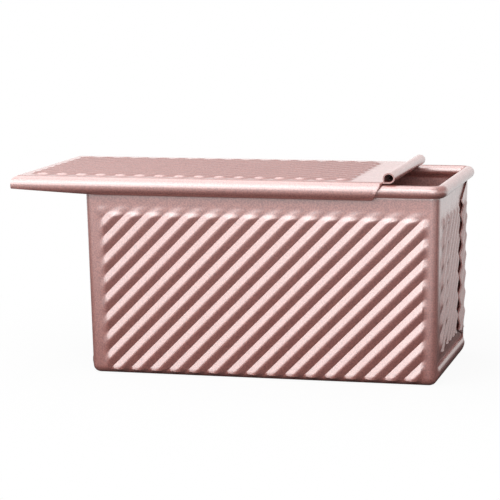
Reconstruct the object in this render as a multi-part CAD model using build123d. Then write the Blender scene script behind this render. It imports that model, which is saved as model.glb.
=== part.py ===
from build123d import *
import math
import os

# Pullman loaf pan with a sliding lid, folded from ribbed steel sheet.
# Millimetres, +Z up, origin at the middle of the underside, +X towards the lid's grip.
# The lid stands slid back towards -X, so that the grip end of the pan is open.

# Overall sizes
rim_length = 211.0          # over the rolled rim, along X
rim_width = 116.0           # over the rolled rim, along Y
pan_height = 111.5          # underside to the top of the rim roll
wall_lean = 2.0             # how far each wall leans out between base and neck

# Sheet and bends
sheet = 0.8
corner_radius = 5.0         # outside, upright corners
base_radius = 4.0           # outside, between walls and base
panel_clearance = 0.15      # between an end panel and the wrap's flaps
seam_gap = 0.3              # between neighbouring rim rolls
cut_overrun = 3.0           # how far a cut runs past what it cuts

# Flat facets that stand for each curve
corner_facets = 5           # in each upright corner
bend_facets = 4             # between a wall and the base
neck_facets = 3             # in each half of the neck's S-bend
roll_facets = 12            # round the rolled rim
wire_facets = 12

# Rim: a wire inside a rolled edge
wire_diameter = 5.0
wire_clearance = 0.2
roll_offset = 0.4           # roll axis outside the wall's outer face
neck_height = 5.0           # S-bend between the wall and the roll axis
roll_sweep = 270.0          # degrees of sheet round the wire

# Ribs: flat flanks between rounded crests and sharp valleys, rising to the right seen from outside
rib_pitch = 7.97            # square across the ribs
rib_rise = 1.5
rib_shape_shares = ((0.5, 0.0), (0.12, 0.865), (0.06, 0.966), (0.0, 1.0))  # of pitch and rise, valley to crest
rib_fade = 4.0              # length of the slope that ends each rib
rib_angle = -45.0           # from upright
rib_bury = 0.4              # depth of a rib's root in the sheet
rib_start = 7.55            # shifts the rows of ribs across the sheet
wall_rib_drop = 9.5         # how far below the neck the ribs stop
wall_rib_foot = 2.6
wall_rib_left = 4.0         # flat strip beside each upright corner, seen from outside
wall_rib_right = 0.2
end_rib_drop = 7.0          # the same on the ends
flap_rib_margin = 3.0

# Flaps and flange on the ends
flap_width_top = 25.0
flap_width_foot = 27.0
flap_drop = 8.5             # free corner of a flap, below the neck
flap_foot = 18.0            # free corner of a flap, above the flange
flange_height = 10.0
notch_height = 12.0         # where a flap's lower edge meets the corner

# End panels
panel_foot = 3.6
panel_rib_half_width = 24.0
panel_rib_foot = 15.0

# Base ribs, pressed inwards so that the pan rests on a flat frame
base_margin = 9.0

# Lid
lid_length = 220.6
lid_shift = -33.3           # from the closed place, as in the photograph
lid_clearance = 0.9         # round the rim roll, and over it
lip_angle = 80.0            # degrees below the horizontal where the channel's lip ends
lip_relief = 3.1            # how much lower the lip is where it is full
lip_relief_length = 55.0
curl_slant = 5.5            # the channel's grip end is cut back this far at the bottom
grip_radius = 3.3
grip_sweep = 308.0
lid_margin_grip = 17.0      # flat strip beside the grip
lid_margin_far = 4.0
lid_margin_front = 4.5
lid_margin_back = 7.5
lid_rib_pitch = 8.22
lid_rib_rise = 1.0          # flatter than on the walls
lid_rib_start = 5.07

# Worked out from the above
roll_radius = wire_diameter / 2 + wire_clearance + sheet
roll_mean = roll_radius - sheet / 2
roll_height = pan_height - roll_radius
neck_foot = roll_height - neck_height
wall_rib_top = neck_foot - wall_rib_drop
end_rib_top = neck_foot - end_rib_drop
flap_top = neck_foot - flap_drop
half_length = rim_length / 2 - roll_radius - roll_offset
half_width = rim_width / 2 - roll_radius - roll_offset
lid_top = pan_height + lid_clearance + sheet
lid_half_width = rim_width / 2 - roll_radius
lid_start = lid_shift - lid_length / 2
lid_end = lid_shift + lid_length / 2
grip_start = lid_end - 2 * grip_radius
rib_slope = rib_fade / rib_rise


def lean_at(height):
    """How far a wall has leaned out at this height, less than at the neck."""
    return wall_lean * (height / neck_foot - 1)


def wall_plane(turn, reach, inset=0):
    """Plane on the outer face of a wall, with its x axis to the right seen from outside."""
    angle = math.radians(turn)
    out = Vector(math.sin(angle), -math.cos(angle), 0)
    side = Vector(math.cos(angle), math.sin(angle), 0)
    foot = out * (reach + lean_at(0) - inset)
    up = Vector(0, 0, neck_foot) + out * wall_lean
    return Plane(origin=foot, x_dir=side, z_dir=side.cross(up))


def arc_points(centre, radius, start, sweep, facets):
    """Points along an arc, both ends included, as (x, y)."""
    points = []
    for k in range(facets + 1):
        angle = math.radians(start + sweep * k / facets)
        points.append((centre[0] + radius * math.cos(angle), centre[1] + radius * math.sin(angle)))
    return points


def flat_sided(rings, closed=False):
    """Solid with flat faces between rings of matching points. A closed one joins the last ring to the first."""
    faces = []
    count = len(rings[0])
    following = rings[1:] + rings[:1] if closed else rings[1:]
    for ring, other in zip(rings, following):
        for k in range(count):
            n = (k + 1) % count
            faces.append(Face(Wire.make_polygon([ring[k], ring[n], other[n], other[k]])))
    if not closed:
        faces.append(Face(Wire.make_polygon(rings[0])))
        faces.append(Face(Wire.make_polygon(rings[-1])))
    return Solid(Shell(faces))


def corner_stations(quarter):
    """Centre of an upright corner, and the directions of its facets' edges. Quarter 0 is +X +Y."""
    side_x = 1 if quarter in (0, 3) else -1
    side_y = 1 if quarter in (0, 1) else -1
    centre = Vector(side_x * (half_length - corner_radius), side_y * (half_width - corner_radius), 0)
    around = arc_points((0, 0), 1, 90 * quarter, 90, corner_facets)
    return centre, Vector(side_x, side_y, 0), [Vector(x, y, 0) for x, y in around]


def pan_ring(height, shift, radius):
    """Outline of the pan at one height, its corners moved by shift."""
    ring = []
    for quarter in range(4):
        centre, diagonal, around = corner_stations(quarter)
        for direction in around:
            ring.append(centre + diagonal * shift + direction * radius + Vector(0, 0, height))
    return ring


def rounded_block(floor, inset):
    """Leaning block with round upright corners and a round foot."""
    bend = base_radius - inset
    radius = corner_radius - inset
    tilt = math.degrees(math.atan(wall_lean / neck_foot))
    side = bend * math.cos(math.radians(tilt))
    rings = []
    for x, z in arc_points((0, floor + bend), bend, -90, 90 - tilt, bend_facets):
        touch = floor + bend * (1 - math.sin(math.radians(tilt)))
        rings.append(pan_ring(z, lean_at(touch), radius + x - side))
    rings.append(pan_ring(neck_foot, 0, radius))
    return flat_sided(rings)


def rib_bank(reach, drop, start, pitch, rise):
    """Rows of ribs that cover a circle of radius reach, their face drop below the sheet's outer face."""
    count = 2 * math.ceil(reach / pitch) + 2
    first = start - count * pitch / 2
    last = first + count * pitch
    floor = -drop - (rib_bury if drop == 0 else cut_overrun)
    outline = [(first, floor)]
    for k in range(count):
        middle = first + (k + 1 / 2) * pitch
        outline += [(middle - x * pitch, z * rise - drop) for x, z in rib_shape_shares]
        outline += [(middle + x * pitch, z * rise - drop) for x, z in rib_shape_shares[-2:0:-1]]
    outline += [(last, -drop), (last, floor)]
    section = Plane.XZ * make_face(Polyline(outline, close=True))
    return Rot(0, 0, rib_angle) * extrude(section, amount=reach, both=True)


def fade_block(outline, low, high, inset):
    """Block over an outline whose sides slope inwards as a rib's end does."""
    shape = make_face(Polyline(outline, close=True))
    ring = offset(shape, amount=-(inset + rib_slope * low), kind=Kind.INTERSECTION)
    taper = math.degrees(math.atan(rib_slope))
    return extrude(Pos(0, 0, low) * ring, amount=high - low, taper=taper)


def press_ribs(body, plane, outline, start=rib_start, pitch=rib_pitch, rise=rib_rise):
    """Press ribs out of a sheet whose outer face lies in the plane, inside the outline."""
    middle_x = sum(p[0] for p in outline) / len(outline)
    middle_y = sum(p[1] for p in outline) / len(outline)
    reach = max(math.hypot(p[0] - middle_x, p[1] - middle_y) for p in outline) + pitch
    # Rows keep their place on the sheet whatever the outline is
    across = middle_x * math.cos(math.radians(rib_angle)) + middle_y * math.sin(math.radians(rib_angle))
    phase = (start - across) % pitch
    place = plane.location * Pos(middle_x, middle_y, 0)
    local = [(p[0] - middle_x, p[1] - middle_y) for p in outline]
    ridges = rib_bank(reach, 0, phase, pitch, rise) & fade_block(local, -rib_bury, rise + rib_bury, 0)
    back_inset = sheet * math.sqrt(1 + rib_slope ** 2)
    hollows = rib_bank(reach, sheet, phase, pitch, rise)
    hollows = hollows & fade_block(local, -sheet - rib_bury, rise, back_inset)
    return body + place * ridges - place * hollows


def rolled_edge(start):
    """Outline of neck and roll. x is out from the wall's outer face, start is the sheet's middle."""
    shift = start - roll_offset + roll_mean
    bend = (shift ** 2 + neck_height ** 2) / (4 * shift)
    turn = math.degrees(math.asin(neck_height / (2 * bend)))
    low = (start - bend, neck_foot)
    high = (start - shift + bend, roll_height)
    centre = (roll_offset, roll_height)
    sides = []
    for half in (sheet / 2, -sheet / 2):
        side = arc_points(low, bend + half, 0, turn, neck_facets)
        side += arc_points(high, bend - half, 180 + turn, -turn, neck_facets)[1:]
        side += arc_points(centre, roll_mean - half, 180, -roll_sweep, roll_facets)[1:]
        sides.append(side)
    return sides[0] + sides[1][::-1]


def edge_run(outline, reach, half_run, turn):
    """Straight run of a rolled edge along a wall."""
    angle = math.radians(turn)
    out = Vector(math.sin(angle), -math.cos(angle), 0)
    side = Vector(math.cos(angle), math.sin(angle), 0)
    place = Plane(origin=out * reach, x_dir=out, z_dir=-side)
    return extrude(place * make_face(Polyline(outline, close=True)), amount=half_run, both=True)


def edge_round(outline, quarters):
    """Rolled edge round the given upright corners and along the wall between them."""
    rings = []
    for quarter in quarters:
        centre, diagonal, around = corner_stations(quarter)
        for direction in around:
            rings.append([centre + direction * (corner_radius + x) + Vector(0, 0, z) for x, z in outline])
    return rings


def end_window():
    """Outline of the opening in each end of the wrap, between flaps, flange and rim."""
    side_top = half_width - corner_radius
    side_notch = half_width + lean_at(notch_height) - corner_radius
    side = [
        (side_notch, flange_height),
        (side_notch, notch_height),
        (half_width + lean_at(flap_foot) - flap_width_foot, flap_foot),
        (half_width + lean_at(flap_top) - flap_width_top, flap_top),
        (side_top, neck_foot),
        (side_top, pan_height + cut_overrun),
    ]
    return side + [(-y, z) for y, z in reversed(side)]


def pan_wrap():
    body = rounded_block(0, 0) - rounded_block(sheet, sheet)

    # Ribs of the long walls
    foot_half = half_length + lean_at(wall_rib_foot) - corner_radius
    top_half = half_length + lean_at(wall_rib_top) - corner_radius
    long_side = [
        (wall_rib_left - foot_half, wall_rib_foot), (foot_half - wall_rib_right, wall_rib_foot),
        (top_half - wall_rib_right, wall_rib_top), (wall_rib_left - top_half, wall_rib_top),
    ]
    for turn in (0, 180):
        body = press_ribs(body, wall_plane(turn, half_width), long_side)

    # Ribs of the four flaps, run out past the flaps' free edges
    flap_out = half_width + lean_at(end_rib_top) - corner_radius - flap_rib_margin
    flap_in = half_width - flap_width_foot - cut_overrun - rib_fade
    flap_low = notch_height + wall_rib_foot
    for turn in (90, 270):
        for side in (-1, 1):
            xs = sorted((side * flap_in, side * flap_out))
            flap = [(xs[0], flap_low), (xs[1], flap_low), (xs[1], end_rib_top), (xs[0], end_rib_top)]
            body = press_ribs(body, wall_plane(turn, half_length), flap)

    # Ribs of the base stand up inside
    x = half_length + lean_at(0) - base_margin
    y = half_width + lean_at(0) - base_margin
    body = press_ribs(body, Plane.XY.offset(sheet), [(-x, -y), (x, -y), (x, y), (-x, y)])

    # Openings in the ends
    window = Plane.YZ * make_face(Polyline(end_window(), close=True))
    reach = half_length + cut_overrun
    hole = extrude(window, amount=reach, both=True)
    keep = Box(2 * (half_length - corner_radius), rim_width, 2 * (pan_height + cut_overrun))
    body = body - (hole - keep)

    # Neck and rim roll of the long walls and the corners
    outline = rolled_edge(-sheet / 2)
    for quarters in ((0, 1), (2, 3)):
        body = body + flat_sided(edge_round(outline, quarters))
    return body


def end_panel(turn):
    """Ribbed panel inside the flaps. Turn 90 is the grip end, 270 the far end."""
    inset = sheet + panel_clearance
    rings = []
    for height in (panel_foot, neck_foot):
        out = half_length + lean_at(height) - inset
        side = half_width + lean_at(height) - corner_radius - seam_gap
        corners = [(-side, -out), (side, -out), (side, sheet - out), (-side, sheet - out)]
        rings.append([Vector(x, y, height) for x, y in corners])
    plate = Rot(0, 0, turn) * flat_sided(rings)
    ribbed = [
        (-panel_rib_half_width, panel_rib_foot), (panel_rib_half_width, panel_rib_foot),
        (panel_rib_half_width, end_rib_top), (-panel_rib_half_width, end_rib_top),
    ]
    plate = press_ribs(plate, wall_plane(turn, half_length, inset), ribbed)
    outline = rolled_edge(-inset - sheet / 2)
    run = half_width - corner_radius - seam_gap
    return plate + edge_run(outline, half_length, run, turn)


def rim_wire():
    """Closed loop of wire through the rolls."""
    turn = 360 / wire_facets
    outline = arc_points((roll_offset, roll_height), wire_diameter / 2, 0, 360 - turn, wire_facets - 1)
    return flat_sided(edge_round(outline, range(4)), closed=True)


def channel(side):
    """Curled channel down one long side of the lid, round the rim roll with a clearance."""
    inner = roll_radius + lid_clearance
    centre = (0, roll_height)
    start = 90
    sweep = -(90 + lip_angle)
    tip = [Vector(*centre) + Vector(r, 0).rotate(Axis.Z, start + sweep) for r in (inner, inner + sheet)]
    section = make_face([
        Line((0, roll_height + inner), (0, lid_top)),
        CenterArc(centre, inner, start, sweep),
        CenterArc(centre, inner + sheet, start, sweep),
        Line(tip[0], tip[1]),
    ])
    place = Plane(origin=(lid_start, side * lid_half_width, 0), x_dir=(0, side, 0), z_dir=(side, 0, 0))
    return extrude(place * section, amount=side * (grip_start - lid_start))


def lid():
    plate = Pos((lid_start + grip_start) / 2, 0, lid_top - sheet / 2)
    plate = plate * Box(grip_start - lid_start, 2 * lid_half_width, sheet)
    ribbed_end = grip_start - lid_margin_grip
    ribbed_start = lid_start + lid_margin_far
    front = lid_margin_front - lid_half_width
    back = lid_half_width - lid_margin_back
    ribbed = [(ribbed_start, front), (ribbed_end, front), (ribbed_end, back), (ribbed_start, back)]
    body = press_ribs(plate, Plane.XY.offset(lid_top), ribbed, lid_rib_start, lid_rib_pitch, lid_rib_rise)

    # Channels, with the lip cut shallower at the far end and slanted at the grip end
    foot = roll_height - roll_radius - lid_clearance - sheet
    relief = make_face(Polyline([
        (lid_start, foot + lip_relief), (lid_start + lip_relief_length, foot),
        (lid_start + lip_relief_length, foot - cut_overrun), (lid_start - cut_overrun, foot - cut_overrun),
        (lid_start - cut_overrun, foot + lip_relief),
    ], close=True))
    slant = make_face(Polyline([
        (grip_start, lid_top - sheet), (grip_start - curl_slant, foot),
        (grip_start - curl_slant, foot - cut_overrun), (grip_start + cut_overrun, foot - cut_overrun),
        (grip_start + cut_overrun, lid_top - sheet),
    ], close=True))
    cuts = extrude(Plane.XZ * relief, amount=rim_width, both=True)
    cuts = cuts + extrude(Plane.XZ * slant, amount=rim_width, both=True)
    for side in (-1, 1):
        body = body + (channel(side) - cuts)

    # Hollow rolled grip across the end
    centre = (lid_end - grip_radius, lid_top - sheet + grip_radius)
    tip = [Vector(*centre) + Vector(r, 0).rotate(Axis.Z, grip_sweep - 90) for r in (grip_radius - sheet, grip_radius)]
    section = make_face([
        Line((grip_start, lid_top), (grip_start, lid_top - sheet)),
        Line((grip_start, lid_top - sheet), (centre[0], lid_top - sheet)),
        CenterArc(centre, grip_radius, -90, grip_sweep),
        Line(tip[0], tip[1]),
        CenterArc(centre, grip_radius - sheet, -90, grip_sweep),
        Line((centre[0], lid_top), (grip_start, lid_top)),
    ])
    return body + extrude(Plane.XZ * section, amount=lid_half_width, both=True)


os.makedirs("parts", exist_ok=True)
export_step(pan_wrap(), "parts/pan_wrap.step")
export_step(end_panel(90), "parts/end_panel_right.step")
export_step(end_panel(270), "parts/end_panel_left.step")
export_step(rim_wire(), "parts/rim_wire.step")
export_step(lid(), "parts/lid.step")
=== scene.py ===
import math

import bmesh
import bpy
import numpy as np
from mathutils import Matrix, Quaternion, Vector


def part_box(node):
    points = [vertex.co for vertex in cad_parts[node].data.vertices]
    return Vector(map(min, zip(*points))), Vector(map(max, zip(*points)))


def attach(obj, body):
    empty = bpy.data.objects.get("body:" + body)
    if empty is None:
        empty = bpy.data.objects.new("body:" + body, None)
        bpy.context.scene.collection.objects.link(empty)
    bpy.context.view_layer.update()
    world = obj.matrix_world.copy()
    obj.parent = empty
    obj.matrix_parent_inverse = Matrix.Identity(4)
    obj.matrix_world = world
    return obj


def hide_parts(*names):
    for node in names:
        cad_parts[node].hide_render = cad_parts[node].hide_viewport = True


bl_info = {
    "name": "Ribbed loaf pan",
    "version": (1, 0, 0),
    "blender": (4, 5, 0),
    "location": "View3D > Sidebar > Loaf Pan",
    "description": "Lidded loaf pan folded from ribbed, coated steel sheet",
    "category": "Object",
}

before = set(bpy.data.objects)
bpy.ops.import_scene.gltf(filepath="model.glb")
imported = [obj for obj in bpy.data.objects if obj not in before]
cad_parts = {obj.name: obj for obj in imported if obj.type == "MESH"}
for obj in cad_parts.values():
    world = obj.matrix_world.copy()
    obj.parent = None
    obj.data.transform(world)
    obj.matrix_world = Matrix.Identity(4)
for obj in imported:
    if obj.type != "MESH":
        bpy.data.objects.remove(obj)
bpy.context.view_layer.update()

# The frame gives the sizes that the solids share with the visible sheet
PAN_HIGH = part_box("pan_wrap")[1]
LID_LOW, LID_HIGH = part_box("lid")

COATING = "rose_gold_nonstick_coating_sprayed"
WIRE_STEEL = "mild_steel_wire_drawn"

# Where the rows of ribs fall on each sheet, from the middle of its foot. All lengths are in metres.
ROW_START = 0.00755
LID_ROW_START = 0.00507

# Foot and top of the ribbed fields, with the flat strips beside them or with half their width
WALL_RIBS = (0.0006, 0.0972)
WALL_RIB_LEFT = 0.0018
FLAP_RIBS = (0.0146, 0.0972)
FLAP_RIB_MARGIN = 0.003
PANEL_RIBS = (0.015, 0.0965)
PANEL_RIB_HALF_WIDTH = 0.024
BASE_MARGIN = 0.009

# How blunt the ribs end at these edges of a field, where 1 is how they end at its left edge
BLUNT_RIGHT, BLUNT_FOOT, BLUNT_TOP = 1.5, 2.4, 0.8
BLUNT_LID_FRONT = 1.8

# The opening in each end of the wrap, between the flange along its foot and the flaps beside it
FLANGE_HEIGHT = 0.010
NOTCH_HEIGHT = 0.012
FLAP_FOOT, FLAP_WIDTH_FOOT = 0.018, 0.027
FLAP_TOP, FLAP_WIDTH_TOP = 0.0945, 0.025

# How far the flange stands out, and the heights and lengths over which it swells and falls back
FLANGE_BULGE = 0.0013
FLANGE_RISE, FLANGE_RISE_SPAN = 0.0015, 0.005
FLANGE_FALL, FLANGE_FALL_SPAN = 0.0078, 0.0024
FLANGE_EASE = 0.004

# End panels: gaps to the flaps and to the corners' rolls, and the height of the lower edge
PANEL_CLEARANCE = 0.00015
SEAM_GAP = 0.0003
PANEL_FOOT = 0.0036

# Lid: flat strips round its ribs, and the length of the ribs' ends as a share of that on the walls
LID_MARGIN_FAR, LID_MARGIN_GRIP = 0.0065, 0.017
LID_MARGIN_FRONT, LID_MARGIN_BACK = 0.0045, 0.0075
LID_FADE_SHARE = 0.6

# Each channel's lip ends this far below the horizontal, is raised near the far end and slanted at the grip
LIP_DEGREES = 80
LIP_RELIEF, LIP_RELIEF_LENGTH = 0.0031, 0.055
CURL_SLANT = 0.0055

# At the far end the plate and the lip are cut back from the tip of each channel, over this length.
# Round the channel from the top, the plate's cut runs out in 65 degrees and the lip's sets in at 100.
PLATE_CUT, LIP_CUT, CUT_LENGTH = 0.0031, 0.002, 0.012
PLATE_CUT_DEGREES = 65
LIP_CUT_DEGREES, LIP_CUT_SPAN = 100, 60

# The grip is lower than it is wide, stops short of the back channel and just clears the plate
GRIP_HEIGHT_SHARE = 0.9
GRIP_SHORT = 0.0085
GRIP_GAP = 0.00005

# Mesh steps in each curve, and the angle from which an edge looks sharp
CORNER_STEPS, BEND_STEPS, NECK_STEPS, ROLL_STEPS, LIP_STEPS, GRIP_STEPS = 8, 6, 6, 30, 18, 36
SHARP_ANGLE = math.radians(32)


class LoafPanSizes(bpy.types.PropertyGroup):
    """Sizes of the pan and its lid"""
    sheet: bpy.props.FloatProperty(
        name="Sheet", description="Thickness of the steel sheet", default=0.0008, unit="LENGTH")
    wall_lean: bpy.props.FloatProperty(
        name="Wall lean", description="How far each wall leans out from base to neck", default=0.002,
        unit="LENGTH")
    corner_radius: bpy.props.FloatProperty(
        name="Corner radius", description="Outside radius of the upright corners", default=0.005,
        unit="LENGTH")
    base_radius: bpy.props.FloatProperty(
        name="Base radius", description="Outside radius between walls and base", default=0.004,
        unit="LENGTH")
    roll_radius: bpy.props.FloatProperty(
        name="Rim roll radius", description="Outside radius of the rolled rim", default=0.0035,
        unit="LENGTH")
    roll_offset: bpy.props.FloatProperty(
        name="Rim roll offset", description="How far the roll's axis lies outside the wall's outer face",
        default=0.0004, unit="LENGTH")
    neck_height: bpy.props.FloatProperty(
        name="Neck height", description="Height of the bend between wall and rim roll", default=0.0042,
        unit="LENGTH")
    rib_pitch: bpy.props.FloatProperty(
        name="Rib pitch", description="From rib to rib, square across them", default=0.00797, unit="LENGTH")
    rib_rise: bpy.props.FloatProperty(
        name="Rib rise", description="Height of a rib's crest over the flat sheet", default=0.0015,
        unit="LENGTH")
    rib_fade: bpy.props.FloatProperty(
        name="Rib fade", description="Length over which a rib's end sinks into the sheet", default=0.004,
        unit="LENGTH")
    rib_lean: bpy.props.FloatProperty(
        name="Rib lean", description="Angle of the ribs from upright", default=math.radians(45),
        subtype="ANGLE")
    lid_rib_pitch: bpy.props.FloatProperty(
        name="Lid rib pitch", description="From rib to rib on the lid", default=0.00822, unit="LENGTH")
    lid_rib_rise: bpy.props.FloatProperty(
        name="Lid rib rise", description="Height of the lid's ribs", default=0.001, unit="LENGTH")
    lid_clearance: bpy.props.FloatProperty(
        name="Lid clearance", description="Gap between the lid's channel and the rim roll", default=0.0009,
        unit="LENGTH")
    grip_radius: bpy.props.FloatProperty(
        name="Grip radius", description="Outside radius of the lid's rolled grip", default=0.0033,
        unit="LENGTH")
    rib_steps: bpy.props.IntProperty(
        name="Rib steps", description="Mesh steps across one rib", default=12, min=6, max=24)


class LoafPanFinish(bpy.types.PropertyGroup):
    """Colours of the coating and the stage, as sRGB hex values"""
    coating: bpy.props.StringProperty(
        name="Coating", description="Colour of the rose-gold coating", default="BE7469")
    coating_dark: bpy.props.StringProperty(
        name="Coating, dark grain", description="Darker flakes in the coating", default="94504A")
    wire: bpy.props.StringProperty(
        name="Wire", description="Colour of the steel wire in the rim", default="9A9A9C")
    floor: bpy.props.StringProperty(
        name="Floor", description="Colour of the floor and backdrop", default="D8D8D8")
    # Painted shade: a dim floor colour that only bounced and reflected light see, so the pan's undersides
    # stay dark
    dim_bounce_floor: bpy.props.StringProperty(
        name="Table", description="Colour of the table that lights the pan from below", default="4A4646")
    grain: bpy.props.FloatProperty(
        name="Grain", description="Size of the coating's metallic grain", default=0.0008, unit="LENGTH")


def linear_colour(text):
    """sRGB hex to linear RGBA."""
    values = [int(text[i:i + 2], 16) / 255 for i in (0, 2, 4)]
    return [v / 12.92 if v <= 0.04045 else ((v + 0.055) / 1.055) ** 2.4 for v in values] + [1.0]


def add_node(tree, kind, settings=None, links=None):
    """Adds a node. settings go to its attributes or inputs, links name what feeds its inputs."""
    node = tree.nodes.new(kind)
    for key, value in (settings or {}).items():
        if isinstance(key, str) and hasattr(node, key):
            setattr(node, key, value)
        else:
            node.inputs[key].default_value = value
    for key, source in (links or {}).items():
        tree.links.new(source, node.inputs[key])
    return node


def new_material(name):
    """Empty node material."""
    material = bpy.data.materials.new(name)
    material.use_nodes = True
    material.node_tree.nodes.clear()
    return material


def rose_gold_coating(finish):
    """Sprayed and baked non-stick coating with metal flakes, on steel sheet.

    The flakes give a pearly sheen over a warm pink-brown ground, and a fine grain that sparkles a little.
    """
    material = new_material(COATING)
    tree = material.node_tree
    place = add_node(tree, "ShaderNodeTexCoord")
    # Real flakes are about 0.05 mm, too fine to show, so the grain is drawn as coarse as it needs to show
    grain = add_node(
        tree, "ShaderNodeTexNoise",
        {"Scale": 1 / finish.grain, "Detail": 2.0, "Roughness": 0.6}, {"Vector": place.outputs["Object"]})
    # Flow of the spray, 12.5 mm across, so faint that it only breaks up the flats
    flow = add_node(
        tree, "ShaderNodeTexNoise", {"Scale": 1 / 0.0125, "Detail": 3.0},
        {"Vector": place.outputs["Object"]})
    ramp = add_node(tree, "ShaderNodeValToRGB", links={"Fac": grain.outputs["Fac"]})
    ramp.color_ramp.elements[0].position = 0.36
    ramp.color_ramp.elements[0].color = linear_colour(finish.coating_dark)
    ramp.color_ramp.elements[1].position = 0.62
    ramp.color_ramp.elements[1].color = linear_colour(finish.coating)
    gloss = add_node(
        tree, "ShaderNodeMapRange",
        {"From Min": 0.3, "From Max": 0.7, "To Min": 0.42, "To Max": 0.52}, {"Value": flow.outputs["Fac"]})
    bump = add_node(
        tree, "ShaderNodeBump", {"Strength": 0.5, "Distance": 0.00005}, {"Height": grain.outputs["Fac"]})
    # A clear binder is about 1.5. The flakes under it mirror far more, which both IORs stand for.
    shader = add_node(
        tree, "ShaderNodeBsdfPrincipled",
        {"Metallic": 0.1, "IOR": 2.3, "Coat Weight": 1.0, "Coat IOR": 2.7, "Coat Roughness": 0.26},
        {"Base Color": ramp.outputs["Color"], "Roughness": gloss.outputs["Result"],
         "Normal": bump.outputs["Normal"]})
    add_node(tree, "ShaderNodeOutputMaterial", links={"Surface": shader.outputs["BSDF"]})
    return material


def drawn_steel_wire(finish):
    """Drawn mild steel wire: plain grey metal, a little less glossy here and there."""
    material = new_material(WIRE_STEEL)
    tree = material.node_tree
    place = add_node(tree, "ShaderNodeTexCoord")
    # The marks of drawing are under 0.05 mm, too fine to show, so the gloss varies over 0.5 mm instead
    marks = add_node(
        tree, "ShaderNodeTexNoise", {"Scale": 1 / 0.0005, "Detail": 2.0},
        {"Vector": place.outputs["Object"]})
    gloss = add_node(
        tree, "ShaderNodeMapRange", {"To Min": 0.3, "To Max": 0.45}, {"Value": marks.outputs["Fac"]})
    shader = add_node(
        tree, "ShaderNodeBsdfPrincipled", {"Base Color": linear_colour(finish.wire), "Metallic": 1.0},
        {"Roughness": gloss.outputs["Result"]})
    add_node(tree, "ShaderNodeOutputMaterial", links={"Surface": shader.outputs["BSDF"]})
    return material


def white_paper(finish):
    """Matt white paper sweep. Seen straight or in a reflection it mostly glows white, and in reflections
    that glow is a painted reflection.
    """
    material = new_material("white_paper_matt")
    tree = material.node_tree
    rays = add_node(tree, "ShaderNodeLightPath")
    mirrored = add_node(
        tree, "ShaderNodeMath", {"operation": "MAXIMUM"},
        {0: rays.outputs["Is Glossy Ray"], 1: rays.outputs["Is Transmission Ray"]})
    # Seen straight it is white, and near the pan it shows a little of its own shading and the pan's shadow
    place = add_node(tree, "ShaderNodeTexCoord")
    away = add_node(
        tree, "ShaderNodeVectorMath", {"operation": "LENGTH"}, {"Vector": place.outputs["Object"]})
    straight = add_node(
        tree, "ShaderNodeMapRange",
        {"interpolation_type": "SMOOTHSTEP", "From Min": 0.12, "From Max": 0.3,
         "To Min": 0.93, "To Max": 1.0},
        {"Value": away.outputs["Value"]})
    straight = add_node(
        tree, "ShaderNodeMath", {"operation": "MULTIPLY"},
        {0: straight.outputs["Result"], 1: rays.outputs["Is Camera Ray"]})
    # Painted reflection: in reflections the glow is dim beside the pan, as painted shade, and bright
    # further off, more so behind than in front
    spot = add_node(tree, "ShaderNodeSeparateXYZ", links={0: place.outputs["Object"]})
    front = add_node(
        tree, "ShaderNodeMapRange", {"From Min": -0.1, "From Max": 0.1, "To Min": 0.55, "To Max": 1.0},
        {"Value": spot.outputs["Y"]})
    along = add_node(tree, "ShaderNodeMath", {"operation": "ABSOLUTE"}, {0: spot.outputs["Y"]})
    painted_reflection_share = add_node(
        tree, "ShaderNodeMapRange",
        {"interpolation_type": "SMOOTHSTEP", "From Min": 0.06, "From Max": 0.42},
        {"Value": along.outputs[0], "To Max": front.outputs["Result"]})
    painted_reflection_share = add_node(
        tree, "ShaderNodeMath", {"operation": "MULTIPLY"},
        {0: painted_reflection_share.outputs["Result"], 1: mirrored.outputs[0]})
    share = add_node(
        tree, "ShaderNodeMath", {"operation": "MAXIMUM"}, {0: straight.outputs[0], 1: painted_reflection_share.outputs[0]})
    # Painted shade: every ray but the camera's sees the paper in this dim colour, so little light comes up
    # from it onto the pan
    tone = add_node(
        tree, "ShaderNodeMix",
        {"data_type": "RGBA", 6: linear_colour(finish.dim_bounce_floor), 7: linear_colour(finish.floor)},
        {0: rays.outputs["Is Camera Ray"]})
    paper = add_node(tree, "ShaderNodeBsdfDiffuse", links={"Color": tone.outputs[2]})
    glow = add_node(tree, "ShaderNodeEmission", {"Color": (1, 1, 1, 1), "Strength": 1.0})
    mix = add_node(
        tree, "ShaderNodeMixShader",
        links={0: share.outputs[0], 1: paper.outputs[0], 2: glow.outputs[0]})
    add_node(tree, "ShaderNodeOutputMaterial", links={"Surface": mix.outputs[0]})
    return material


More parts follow.
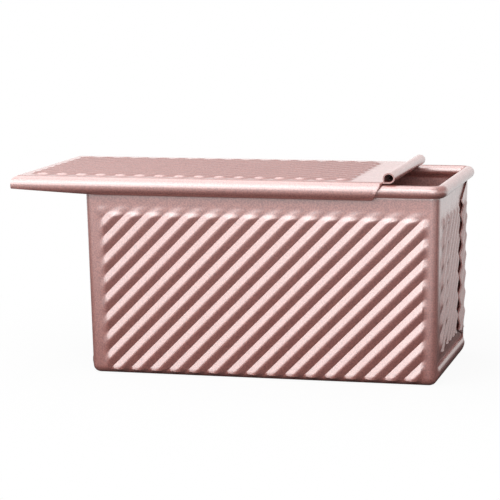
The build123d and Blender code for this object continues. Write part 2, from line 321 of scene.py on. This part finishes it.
class PanForm:
    """Sizes worked out from the frame and the user's values."""

    def __init__(self, sizes):
        self.sheet = sizes.sheet
        self.lean = sizes.wall_lean
        self.corner = sizes.corner_radius
        self.bend = sizes.base_radius
        self.roll = sizes.roll_radius
        self.roll_mean = sizes.roll_radius - sizes.sheet / 2
        self.offset = sizes.roll_offset
        self.neck = sizes.neck_height
        self.top = PAN_HIGH.z
        self.roll_height = self.top - self.roll
        self.neck_foot = self.roll_height - self.neck
        self.half_length = PAN_HIGH.x - self.roll - self.offset
        self.half_width = PAN_HIGH.y - self.roll - self.offset
        self.tilt = math.atan2(self.lean, self.neck_foot)
        self.slope = self.neck_foot / math.cos(self.tilt)
        self.pitch = sizes.rib_pitch
        self.rise = sizes.rib_rise
        self.fade = sizes.rib_fade
        self.rib_turn = sizes.rib_lean
        self.step_x = self.pitch / math.cos(self.rib_turn) / sizes.rib_steps
        self.step_y = self.pitch / math.sin(self.rib_turn) / sizes.rib_steps
        self.clearance = sizes.lid_clearance
        self.lid_pitch = sizes.lid_rib_pitch
        self.lid_rise = sizes.lid_rib_rise
        self.grip = sizes.grip_radius

    def lean_at(self, height):
        """How far a wall stands out at this height, from its place at the neck's foot."""
        return self.lean * (height / self.neck_foot - 1)

    def across_ribs(self, x, y, start):
        """Distance square across the ribs, on a sheet with x to the right and y up."""
        return x * math.cos(self.rib_turn) - y * math.sin(self.rib_turn) - start


def smooth(t):
    """Eases in and out between 0 and 1."""
    return t * t * (3 - 2 * t)


def part_way(value, low, span):
    """0 up to low, 1 from low + span on, and straight between them."""
    return min(1.0, max(0.0, (value - low) / span))


def aligned(low, high, step, phase=0.0):
    """Places between low and high in whole steps from phase, with the two ends."""
    clear = 0.35  # a place nearer to an end than this share of a step is left out
    first = math.ceil((low - phase) / step + clear)
    last = math.floor((high - phase) / step - clear)
    return np.concatenate([[low], phase + step * np.arange(first, last + 1), [high]])


def rib_height(pitch, rise, fade, across, inside):
    """Height of the ribs.

    across runs square to them from a valley, and inside is the way in from the field's edge.
    """
    # Flat flanks meet in sharp valleys and in a crest that is rounded over this share of the pitch
    crest = 0.12
    bend = 1 / (crest - crest ** 2)
    t = np.abs(np.mod(across, pitch) / pitch - 0.5)
    arc = 1 - bend * t ** 2
    flank = 2 * bend * crest * (0.5 - t)
    # A rib's end drops steeply to a quarter of its height and runs out in a low tail
    steep = 0.75
    drop_start, drop_length, tail_length = fade * 0.725, fade * 0.5, fade * 0.72
    drop = np.clip((inside - drop_start) / drop_length, 0, 1)
    tail = np.clip(inside / tail_length, 0, 1)
    share = steep * smooth(drop) + (1 - steep) * smooth(tail)
    return rise * np.where(t < crest, arc, flank) * share


def rib_field(form, x, y, start, low, high, left, right):
    """Ribs on a sheet with x to the right and y up, between these edges."""
    across = form.across_ribs(x, y, start)
    sides = np.minimum(x - left, (right - x) * BLUNT_RIGHT)
    ends = np.minimum((y - low) * BLUNT_FOOT, (high - y) * BLUNT_TOP)
    return rib_height(form.pitch, form.rise, form.fade, across, np.minimum(sides, ends))


def edge_profile(form, start):
    """Neck and roll. Returns rows of (offset, height, normal offset, normal height) on the outer face.

    start is the place of the sheet's middle at the neck's foot, from the wall's outer face.
    """
    shift = start - form.offset + form.roll_mean
    bend = (shift ** 2 + form.neck ** 2) / (4 * shift)
    turn = math.asin(form.neck / (2 * bend))
    half = form.sheet / 2
    rows = []
    for k in range(1, NECK_STEPS + 1):
        a = turn * k / NECK_STEPS
        reach = bend + half
        rows.append((start - bend + reach * math.cos(a), form.neck_foot + reach * math.sin(a),
                     math.cos(a), math.sin(a)))
    for k in range(1, NECK_STEPS + 1):
        a = turn * (1 - k / NECK_STEPS)
        reach = bend - half
        rows.append((start - shift + bend - reach * math.cos(a), form.roll_height - reach * math.sin(a),
                     math.cos(a), math.sin(a)))
    # Three quarters of a turn, round the wire
    for k in range(1, ROLL_STEPS + 1):
        a = math.pi - math.radians(270) * k / ROLL_STEPS
        reach = form.roll_mean - half
        rows.append((form.offset + reach * math.cos(a), form.roll_height + reach * math.sin(a),
                     -math.cos(a), -math.sin(a)))
    return rows


def square(a, b, c, d):
    """A square of the grid as two triangles, split along the ribs."""
    return [(a, b, c), (a, c, d)]


def grid_faces(index):
    """Triangles of a grid of vertex numbers, index[row][column]."""
    faces = []
    for low, high in zip(index[:-1], index[1:]):
        for c in range(len(low) - 1):
            faces += square(low[c], low[c + 1], high[c + 1], high[c])
    return faces


def sheet_mesh(name, points, normals, faces, thickness, flat_edges=(), cuts=None):
    """Closed mesh of a sheet from its outer face.

    flat_edges bound a level part that is filled in, and cuts is a function that trims the face first.
    """
    mesh = bpy.data.meshes.new(name)
    bm = bmesh.new()
    out = bm.verts.layers.float_vector.new("out")
    verts = []
    for p, n in zip(points, normals):
        v = bm.verts.new(p)
        v[out] = Vector(n)
        verts.append(v)
    for f in faces:
        bm.faces.new([verts[i] for i in f])
    if flat_edges:
        edges = [bm.edges.get((verts[a], verts[b])) for a, b in flat_edges]
        made = bmesh.ops.triangle_fill(bm, use_beauty=True, edges=edges, normal=(0, 0, -1))
        for f in made["geom"]:
            if isinstance(f, bmesh.types.BMFace) and f.normal.z > 0:
                f.normal_flip()
    if cuts:
        cuts(bm)
        out = bm.verts.layers.float_vector["out"]
        loose = [v for v in bm.verts if not v.link_faces]
        bmesh.ops.delete(bm, geom=loose, context="VERTS")
    # The inner face is the outer one moved in by the sheet's thickness, joined to it along the edges
    outer_faces = list(bm.faces)
    outer_verts = list(bm.verts)
    rim = [e for e in bm.edges if e.is_boundary]
    twin = {v: bm.verts.new(v.co - v[out].normalized() * thickness) for v in outer_verts}
    for f in outer_faces:
        bm.faces.new([twin[v] for v in reversed(f.verts)])
    for e in rim:
        loop = e.link_loops[0]
        a, b = loop.vert, loop.link_loop_next.vert
        bm.faces.new((b, a, twin[a], twin[b]))
    bm.to_mesh(mesh)
    bm.free()
    mesh.shade_smooth()
    mesh.set_sharp_from_angle(angle=SHARP_ANGLE)
    mesh.attributes.remove(mesh.attributes["out"])
    obj = bpy.data.objects.new(name, mesh)
    bpy.context.scene.collection.objects.link(obj)
    return obj


def window_cutter(form):
    """Trims the opening in each end of the wrap, out to its outline."""
    # Distance from the middle, and height
    outline = [
        (form.half_width + form.lean_at(FLANGE_HEIGHT) - form.corner, FLANGE_HEIGHT),
        (form.half_width + form.lean_at(NOTCH_HEIGHT) - form.corner, NOTCH_HEIGHT),
        (form.half_width + form.lean_at(FLAP_FOOT) - FLAP_WIDTH_FOOT, FLAP_FOOT),
        (form.half_width + form.lean_at(FLAP_TOP) - FLAP_WIDTH_TOP, FLAP_TOP),
        (form.half_width - form.corner, form.neck_foot),
    ]
    reach = form.half_length - form.corner
    # Each run of the outline splits the faces this near to it, from this far before the end's flat part
    around, before = 0.003, 0.001

    def split(bm, side_x, side_y, start, end):
        """Splits the faces of one flap along one run of the outline."""
        (y0, z0), (y1, z1) = start, end
        low, high = min(z0, z1) - around, max(z0, z1) + around
        near, far = min(y0, y1) - around, max(y0, y1) + around
        chosen = []
        for f in bm.faces:
            p = f.verts[0].co
            if side_x * p.x > reach - before and low < p.z < high and near < side_y * p.y < far:
                chosen.append(f)
        geom = list({g for f in chosen for g in (*f.verts, *f.edges)}) + chosen
        normal = Vector((0, side_y * (z1 - z0), y0 - y1))
        bmesh.ops.bisect_plane(bm, geom=geom, plane_co=(0, side_y * y0, z0), plane_no=normal, dist=1e-6)

    def cut(bm):
        for side_x in (-1, 1):
            for side_y in (-1, 1):
                for start, end in zip(outline[:-1], outline[1:]):
                    split(bm, side_x, side_y, start, end)
        doomed = []
        for f in bm.faces:
            middle = f.calc_center_median()
            if abs(middle.x) < reach or middle.z < FLANGE_HEIGHT:
                continue
            half = np.interp(middle.z, [p[1] for p in outline], [p[0] for p in outline])
            if abs(middle.y) < half:
                doomed.append(f)
        bmesh.ops.delete(bm, geom=doomed, context="FACES")

    return cut


def wrap_rows(form):
    """Rows of the wrap from the edge of the base up: lean, offset, height, slope height, normal.

    The slope height is None where there are no ribs. Returns the rows and how many lie below the neck.
    """
    tilt = form.tilt
    touch = form.bend * (1 - math.sin(tilt))
    rows = []
    for k in range(BEND_STEPS):
        a = -math.pi / 2 + (math.pi / 2 - tilt) * k / BEND_STEPS
        off = form.bend * (math.cos(a) - math.cos(tilt))
        # The ribs run down onto the bend
        low = form.bend * (1 + math.sin(a))
        rows.append((form.lean_at(touch), off, low, low if k else None, math.cos(a), math.sin(a)))
    for w in aligned(touch / math.cos(tilt), form.slope, form.step_y):
        z = w * math.cos(tilt)
        rows.append((form.lean_at(z), 0.0, z, w, math.cos(tilt), -math.sin(tilt)))
    wall_rows = len(rows)
    for off, z, normal_out, normal_up in edge_profile(form, -form.sheet / 2):
        rows.append((0.0, off, z, None, normal_out, normal_up))
    return rows, wall_rows


def wrap_columns(form):
    """Columns round the pan: side, place and half of the side's length.

    The place is "start", a distance from the side's middle or "end", and on the corner after the side a
    tuple with the share of the turn. Side 0 is the front, and they follow anticlockwise from above.
    """
    columns = []
    for side in range(4):
        half = form.half_width if side % 2 else form.half_length
        narrow = half - form.corner - form.lean
        along = aligned(-narrow, narrow, form.step_x, ROW_START / math.cos(form.rib_turn))[1:-1]
        columns.append((side, "start", half))
        columns += [(side, s, half) for s in along]
        columns.append((side, "end", half))
        columns += [(side, (k / CORNER_STEPS,), half) for k in range(1, CORNER_STEPS)]
    return columns


def flange_bulge(form, place, half, height):
    """How far the flange along the foot of each end stands out."""
    corner = form.corner - half
    ease = min(part_way(place, corner, FLANGE_EASE), part_way(-place, corner, FLANGE_EASE))
    rise = smooth(part_way(height, FLANGE_RISE, FLANGE_RISE_SPAN))
    fall = part_way(height, FLANGE_FALL, FLANGE_FALL_SPAN)
    return FLANGE_BULGE * ease * rise * (1 - fall)


def base_ribs(form, points, normals):
    """Adds the base's ribs, pressed inwards. Returns their faces and the loop round them."""
    base_x = form.half_length - form.lean - BASE_MARGIN
    base_y = form.half_width - form.lean - BASE_MARGIN
    xs = aligned(-base_x, base_x, form.step_x, form.step_x / 2)
    ys = aligned(-base_y, base_y, form.step_y, form.step_y / 2)
    base = np.zeros((len(ys), len(xs)), int)
    for j, y in enumerate(ys):
        ribs = rib_field(form, xs, y, 0.0, -base_y, base_y, -base_x, base_x)
        for i, x in enumerate(xs):
            base[j, i] = len(points)
            points.append(Vector((x, y, float(ribs[i]))))
            normals.append(Vector((0, 0, -1)))
    around = [*base[0, :-1], *base[:-1, -1], *base[-1, :0:-1], *base[:0:-1, 0]]
    # Turned over, because the outer face looks down
    return grid_faces(base.T), around


def build_wrap(form, material):
    """Front wall, base and back wall in one sheet, with flaps, flanges and rolled rims."""
    rows, wall_rows = wrap_rows(form)
    columns = wrap_columns(form)
    points, normals = [], []
    index = np.zeros((len(rows), len(columns)), int)
    flap_half = form.half_width + form.lean_at(FLAP_RIBS[1]) - form.corner - FLAP_RIB_MARGIN
    long_side = np.array([side % 2 == 0 for side, s, half in columns])
    for r, (lean, off, z, w, normal_out, normal_up) in enumerate(rows):
        places = []
        for side, s, half in columns:
            edge = half - form.corner + lean
            places.append(edge if isinstance(s, tuple) else {"start": -edge, "end": edge}.get(s, s))
        places = np.array(places, float)
        ribs = np.zeros(len(columns))
        if w is not None:
            long_half = form.half_length + lean - form.corner
            ribs = np.where(
                long_side,
                rib_field(form, places, w, ROW_START, *WALL_RIBS, WALL_RIB_LEFT - long_half, long_half),
                rib_field(form, places, w, ROW_START, *FLAP_RIBS, -flap_half, flap_half))
        for c, (side, s, half) in enumerate(columns):
            reach = form.half_length if side % 2 else form.half_width
            a = math.radians(90 * side)
            out = Vector((math.sin(a), -math.cos(a), 0))
            right = Vector((math.cos(a), math.sin(a), 0))
            bulge = 0.0
            if isinstance(s, tuple):
                t = s[0] * math.pi / 2
                direction = out * math.cos(t) + right * math.sin(t)
                centre = right * places[c] + out * (reach - form.corner + lean)
                p = centre + direction * (form.corner + off)
            else:
                direction = out
                p = right * places[c] + out * (reach + lean + off)
                if side % 2:
                    bulge = flange_bulge(form, places[c], half, z)
            n = direction * normal_out + Vector((0, 0, normal_up))
            index[r, c] = len(points)
            points.append(p + Vector((0, 0, z)) + n * (float(ribs[c]) + bulge))
            normals.append(n)

    # On the ends the wrap stops at the neck's foot, because the end panels have their own neck and roll
    faces = []
    for r in range(len(rows) - 1):
        for c, (side, s, half) in enumerate(columns):
            on_end = side % 2 and not isinstance(s, tuple) and s != "end"
            if r < wall_rows - 1 or not on_end:
                d = (c + 1) % len(columns)
                faces += square(index[r, c], index[r, d], index[r + 1, d], index[r + 1, c])

    base_faces, around = base_ribs(form, points, normals)
    faces += base_faces
    flat_edges = []
    for loop in (list(index[0]), around):
        flat_edges += list(zip(loop, loop[1:] + loop[:1]))
    obj = sheet_mesh("pan_wrap_sheet", points, normals, faces, form.sheet, flat_edges, window_cutter(form))
    obj.data.materials.append(material)
    return obj


def build_end(form, turn, name, material):
    """Ribbed panel that closes one end inside the flaps."""
    inset = form.sheet + PANEL_CLEARANCE
    tilt = form.tilt
    rows = []
    for w in aligned(PANEL_FOOT / math.cos(tilt), form.slope, form.step_y):
        z = w * math.cos(tilt)
        rows.append((form.lean_at(z) - inset, z, w, math.cos(tilt), -math.sin(tilt)))
    for off, z, normal_out, normal_up in edge_profile(form, -inset - form.sheet / 2):
        rows.append((off, z, None, normal_out, normal_up))
    half = form.half_width - form.corner - SEAM_GAP
    narrow = half - form.lean
    inner_columns = aligned(-narrow, narrow, form.step_x, ROW_START / math.cos(form.rib_turn))[1:-1]
    columns = ["start", *inner_columns, "end"]
    a = math.radians(turn)
    out = Vector((math.sin(a), -math.cos(a), 0))
    right = Vector((math.cos(a), math.sin(a), 0))
    points, normals = [], []
    index = np.zeros((len(rows), len(columns)), int)
    for r, (off, z, w, normal_out, normal_up) in enumerate(rows):
        edge = half + min(0.0, form.lean_at(z))
        n = out * normal_out + Vector((0, 0, normal_up))
        for c, s in enumerate(columns):
            x = {"start": -edge, "end": edge}[s] if isinstance(s, str) else s
            rib = 0.0
            if w is not None:
                rib = float(rib_field(
                    form, x, w, ROW_START, *PANEL_RIBS, -PANEL_RIB_HALF_WIDTH, PANEL_RIB_HALF_WIDTH))
            index[r, c] = len(points)
            points.append(right * x + out * (form.half_length + off) + Vector((0, 0, z)) + n * rib)
            normals.append(n)
    obj = sheet_mesh(name, points, normals, grid_faces(index), form.sheet)
    obj.data.materials.append(material)
    return obj


def lip_turn(form, x, start, grip_start):
    """Angle from the top round the channel to the end of its lip."""
    relief = LIP_RELIEF * max(0.0, 1 - (x - start) / LIP_RELIEF_LENGTH)
    lip = min(LIP_DEGREES, math.degrees(math.asin(1 - relief / (form.roll + form.clearance + form.sheet))))
    fall = (grip_start - x) / CURL_SLANT
    if fall < 1:
        lip = min(lip, math.degrees(math.asin(max(-1.0, min(1.0, -1 + 2 * fall)))))
    # The channel never quite vanishes, so that its faces stay sound
    return math.radians(max(3, 90 + lip))


def far_end(x, start, turned=0.0):
    """Place along the lid, cut back at its far end. turned is the angle round the channel from the top."""
    back = max(0.0, 1 - (x - start) / CUT_LENGTH) ** 2
    plate = 1 - smooth(min(1.0, turned / math.radians(PLATE_CUT_DEGREES)))
    lip = max(0.0, turned - math.radians(LIP_CUT_DEGREES)) / math.radians(LIP_CUT_SPAN)
    return x + PLATE_CUT * back * plate + LIP_CUT * back * lip ** 2


def grip_profile(form, end, top):
    """Section of the grip from the plate's end round to its free edge: x, height, the normal's x and z."""
    wide = form.grip - form.sheet
    tall = form.grip * GRIP_HEIGHT_SHARE - form.sheet
    centre_x = end - form.grip
    centre_z = top - form.sheet + form.grip * GRIP_HEIGHT_SHARE
    profile = []
    for k in range(GRIP_STEPS + 1):
        a = math.radians(-90 + 270 * k / GRIP_STEPS)
        n = Vector((-math.cos(a) * tall, 0, -math.sin(a) * wide)).normalized()
        profile.append((centre_x + wide * math.cos(a), centre_z + tall * math.sin(a), n.x, n.z))
    # The free edge comes straight down on the lid
    steps = 3
    drop = centre_z - top - GRIP_GAP
    for k in range(1, steps + 1):
        profile.append((centre_x - wide, centre_z - drop * k / steps, 1.0, 0.0))
    return profile


def build_lid(form, material):
    """Ribbed lid with a curled channel down each side and a rolled grip."""
    start, end = LID_LOW.x, LID_HIGH.x
    grip_start = end - 2 * form.grip
    half = PAN_HIGH.y - form.roll
    top = form.top + form.clearance + form.sheet
    outer = form.roll + form.clearance + form.sheet
    low_x, high_x = start + LID_MARGIN_FAR, grip_start - LID_MARGIN_GRIP
    front, back = LID_MARGIN_FRONT - half, half - LID_MARGIN_BACK

    step = form.step_x * form.lid_pitch / form.pitch
    xs = aligned(start, grip_start, step, LID_ROW_START / math.cos(form.rib_turn))
    ys = aligned(-half, half, step)
    index = np.zeros((len(ys) + 2 * LIP_STEPS, len(xs)), int)
    points, normals = [], []

    def channel_point(x, side, turned):
        """Point on the outer face of the front (-1) or back (1) channel."""
        a = math.pi / 2 - turned
        n = Vector((0, side * math.cos(a), math.sin(a)))
        points.append(Vector((far_end(x, start, turned), side * half, form.roll_height)) + n * outer)
        normals.append(n)
        return len(points) - 1

    for i, x in enumerate(xs):
        lip = lip_turn(form, x, start, grip_start)
        for k in range(LIP_STEPS):
            index[k, i] = channel_point(x, -1, lip * (1 - k / LIP_STEPS))
        plate_x = far_end(x, start)
        for j, y in enumerate(ys):
            across = form.across_ribs(plate_x, y, LID_ROW_START)
            inside = min(plate_x - low_x, high_x - plate_x, (y - front) * BLUNT_LID_FRONT, back - y)
            rib = float(rib_height(
                form.lid_pitch, form.lid_rise, form.fade * LID_FADE_SHARE, across, inside))
            index[LIP_STEPS + j, i] = len(points)
            points.append(Vector((plate_x, y, top + rib)))
            normals.append(Vector((0, 0, 1)))
        for k in range(LIP_STEPS):
            index[LIP_STEPS + len(ys) + k, i] = channel_point(x, 1, lip * (k + 1) / LIP_STEPS)
    faces = grid_faces(index)

    # Grip: the flat sheet runs on, curls up and comes back over
    profile = grip_profile(form, end, top)
    grip = np.zeros((len(ys), len(profile) + 1), int)
    grip[:, 0] = index[LIP_STEPS:LIP_STEPS + len(ys), -1]
    for j, y in enumerate(ys):
        # It stops short of the back channel
        y = -half + (y + half) * (1 - GRIP_SHORT / (2 * half))
        for k, (x, z, normal_x, normal_z) in enumerate(profile):
            grip[j, k + 1] = len(points)
            points.append(Vector((x, y, z)))
            normals.append(Vector((normal_x, 0, normal_z)))
    faces += grid_faces(grip)
    obj = sheet_mesh("lid_sheet", points, normals, faces, form.sheet)
    obj.data.materials.append(material)
    return obj


class LOAFPAN_OT_materials(bpy.types.Operator):
    """Make the coating and the wire's steel"""
    bl_idname = "loafpan.materials"
    bl_label = "Make Materials"

    def execute(self, context):
        finish = context.scene.loaf_pan_finish
        rose_gold_coating(finish)
        drawn_steel_wire(finish)
        return {"FINISHED"}


class LOAFPAN_OT_wrap(bpy.types.Operator):
    """Build the sheet that makes the long walls and the base"""
    bl_idname = "loafpan.wrap"
    bl_label = "Build Wrap"

    def execute(self, context):
        form = PanForm(context.scene.loaf_pan_sizes)
        obj = build_wrap(form, bpy.data.materials[COATING])
        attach(obj, "pan")
        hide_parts("pan_wrap")
        return {"FINISHED"}


class LOAFPAN_OT_ends(bpy.types.Operator):
    """Build the two end panels"""
    bl_idname = "loafpan.ends"
    bl_label = "Build End Panels"

    def execute(self, context):
        form = PanForm(context.scene.loaf_pan_sizes)
        for turn, node in ((90, "end_panel_right"), (270, "end_panel_left")):
            obj = build_end(form, turn, node + "_sheet", bpy.data.materials[COATING])
            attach(obj, "pan")
            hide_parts(node)
        return {"FINISHED"}


class LOAFPAN_OT_lid(bpy.types.Operator):
    """Build the sliding lid"""
    bl_idname = "loafpan.lid"
    bl_label = "Build Lid"

    def execute(self, context):
        form = PanForm(context.scene.loaf_pan_sizes)
        obj = build_lid(form, bpy.data.materials[COATING])
        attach(obj, "lid")
        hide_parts("lid")
        return {"FINISHED"}


class LOAFPAN_OT_wire(bpy.types.Operator):
    """Give the rim wire its steel"""
    bl_idname = "loafpan.wire"
    bl_label = "Finish Rim Wire"

    def execute(self, context):
        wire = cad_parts["rim_wire"]
        wire.data.materials.clear()
        wire.data.materials.append(bpy.data.materials[WIRE_STEEL])
        return {"FINISHED"}


def add_floor(scene, finish):
    """Level floor, wide enough to reach the horizon."""
    mesh = bpy.data.meshes.new("floor")
    size = 30.0
    corners = [(-size, -size, 0), (size, -size, 0), (size, size, 0), (-size, size, 0)]
    mesh.from_pydata(corners, [], [(0, 1, 2, 3)])
    floor = bpy.data.objects.new("floor", mesh)
    floor.data.materials.append(white_paper(finish))
    scene.collection.objects.link(floor)


def add_world(scene):
    """White behind the pan, and soft light. Reflections show a painted reflection: a bright backdrop under
    a darker ceiling.
    """
    world = bpy.data.worlds.new("studio")
    world.use_nodes = True
    tree = world.node_tree
    background = tree.nodes["Background"]
    background.inputs["Color"].default_value = (1, 1, 1, 1)
    rays = add_node(tree, "ShaderNodeLightPath")
    way = add_node(tree, "ShaderNodeTexCoord")
    height = add_node(tree, "ShaderNodeSeparateXYZ", links={0: way.outputs["Generated"]})
    studio = add_node(
        tree, "ShaderNodeMapRange",
        {"interpolation_type": "SMOOTHSTEP", "From Min": 0.2, "From Max": 0.35,
         "To Min": 1.1, "To Max": 0.5},
        {"Value": height.outputs["Z"]})
    # Painted reflection: glossy rays see the world darker to the right, like a darker wall there
    wall = add_node(
        tree, "ShaderNodeMapRange",
        {"interpolation_type": "SMOOTHSTEP", "From Min": 0.35, "From Max": 0.65,
         "To Min": 1.0, "To Max": 0.6},
        {"Value": height.outputs["X"]})
    studio = add_node(
        tree, "ShaderNodeMath", {"operation": "MULTIPLY"},
        {0: studio.outputs["Result"], 1: wall.outputs["Result"]})
    mirrored = add_node(
        tree, "ShaderNodeMath", {"operation": "MAXIMUM"},
        {0: rays.outputs["Is Glossy Ray"], 1: rays.outputs["Is Transmission Ray"]})
    # Painted reflection: only glossy and transmission rays see this pattern, other rays an even 0.5, and
    # the camera white
    strength = add_node(
        tree, "ShaderNodeMapRange", {"To Min": 0.5},
        {"Value": mirrored.outputs[0], "To Max": studio.outputs[0]})
    strength = add_node(
        tree, "ShaderNodeMath", {"operation": "MAXIMUM"},
        {0: strength.outputs["Result"], 1: rays.outputs["Is Camera Ray"]})
    tree.links.new(strength.outputs[0], background.inputs["Strength"])
    scene.world = world


def add_lamps(scene):
    """Softboxes round the pan, all turned to its middle."""
    target = Vector((0, 0, 0.06))
    # Name, direction from the pan, distance, width, height, roll in degrees, radiance
    for name, way, distance, width, height, roll, radiance in (
        ("softbox_key", (-0.68, -0.66, 0.36), 1.4, 1.8, 0.8, 24, 1.3),
        ("softbox_low", (-0.27, -0.90, 0.36), 1.15, 0.95, 0.5, 0, 0.85),
        ("softbox_high", (-0.27, -0.58, 0.77), 1.3, 1.0, 0.8, 0, 2.2),
        ("softbox_top", (-0.27, 0.20, 0.94), 1.3, 1.1, 1.6, 0, 1.5),
        ("softbox_back", (-0.24, 0.95, 0.17), 1.6, 1.4, 0.4, 0, 0.35),
        ("softbox_right", (0.36, -0.73, 0.58), 1.3, 1.0, 0.9, 0, 1.5),
        ("softbox_strip", (0.29, -0.93, 0.20), 1.3, 0.3, 0.5, 0, 2.4),
    ):
        data = bpy.data.lights.new(name, "AREA")
        data.shape = "RECTANGLE"
        data.size = width
        data.size_y = height
        data.energy = radiance * math.pi * width * height
        lamp = bpy.data.objects.new(name, data)
        direction = Vector(way).normalized()
        lamp.location = target + direction * distance
        lamp.rotation_mode = "QUATERNION"
        facing = direction.to_track_quat("Z", "Y")
        lamp.rotation_quaternion = Quaternion(direction, math.radians(roll)) @ facing
        scene.collection.objects.link(lamp)


def add_camera(scene):
    """Camera found from the photograph's edges."""
    place = (0.28582, -1.19644, 0.24639)
    yaw, pitch, roll = (math.radians(a) for a in (14.273, 8.335, -0.506))
    forward = Vector((-math.sin(yaw) * math.cos(pitch), math.cos(yaw) * math.cos(pitch), -math.sin(pitch)))
    level = Vector((math.cos(yaw), math.sin(yaw), 0))
    upward = level.cross(forward)
    right = level * math.cos(roll) + upward * math.sin(roll)
    above = upward * math.cos(roll) - level * math.sin(roll)
    data = bpy.data.cameras.new("camera")
    data.sensor_width = 36.0
    # Focal length in pixels, over the picture's width in pixels
    data.lens = 2137.9 / 500 * data.sensor_width
    data.clip_start = 0.05
    data.clip_end = 100.0
    camera = bpy.data.objects.new("camera", data)
    turn = Matrix((right, above, -forward)).transposed().to_4x4()
    camera.matrix_world = Matrix.Translation(place) @ turn
    scene.collection.objects.link(camera)
    scene.camera = camera


class LOAFPAN_OT_stage(bpy.types.Operator):
    """Set up the floor, the lamps and the camera"""
    bl_idname = "loafpan.stage"
    bl_label = "Set Up Stage"

    def execute(self, context):
        scene = context.scene
        add_floor(scene, scene.loaf_pan_finish)
        add_world(scene)
        add_lamps(scene)
        add_camera(scene)
        scene.view_settings.view_transform = "Standard"
        return {"FINISHED"}


class LOAFPAN_PT_sidebar(bpy.types.Panel):
    """Sizes, colours and the steps that build the pan"""
    bl_label = "Loaf Pan"
    bl_idname = "LOAFPAN_PT_sidebar"
    bl_space_type = "VIEW_3D"
    bl_region_type = "UI"
    bl_category = "Loaf Pan"

    def draw(self, context):
        for group in (context.scene.loaf_pan_sizes, context.scene.loaf_pan_finish):
            box = self.layout.box()
            for name in group.__annotations__:
                box.prop(group, name)
        for operator in OPERATORS:
            self.layout.operator(operator.bl_idname)


OPERATORS = (
    LOAFPAN_OT_materials, LOAFPAN_OT_wrap, LOAFPAN_OT_ends, LOAFPAN_OT_lid, LOAFPAN_OT_wire,
    LOAFPAN_OT_stage)
CLASSES = (LoafPanSizes, LoafPanFinish, *OPERATORS, LOAFPAN_PT_sidebar)


def register():
    for cls in CLASSES:
        bpy.utils.register_class(cls)
    bpy.types.Scene.loaf_pan_sizes = bpy.props.PointerProperty(type=LoafPanSizes)
    bpy.types.Scene.loaf_pan_finish = bpy.props.PointerProperty(type=LoafPanFinish)


def unregister():
    del bpy.types.Scene.loaf_pan_finish
    del bpy.types.Scene.loaf_pan_sizes
    for cls in reversed(CLASSES):
        bpy.utils.unregister_class(cls)


def main():
    register()
    for step in ("materials", "wrap", "ends", "lid", "wire", "stage"):
        getattr(bpy.ops.loafpan, step)()


if __name__ == "__main__":
    main()
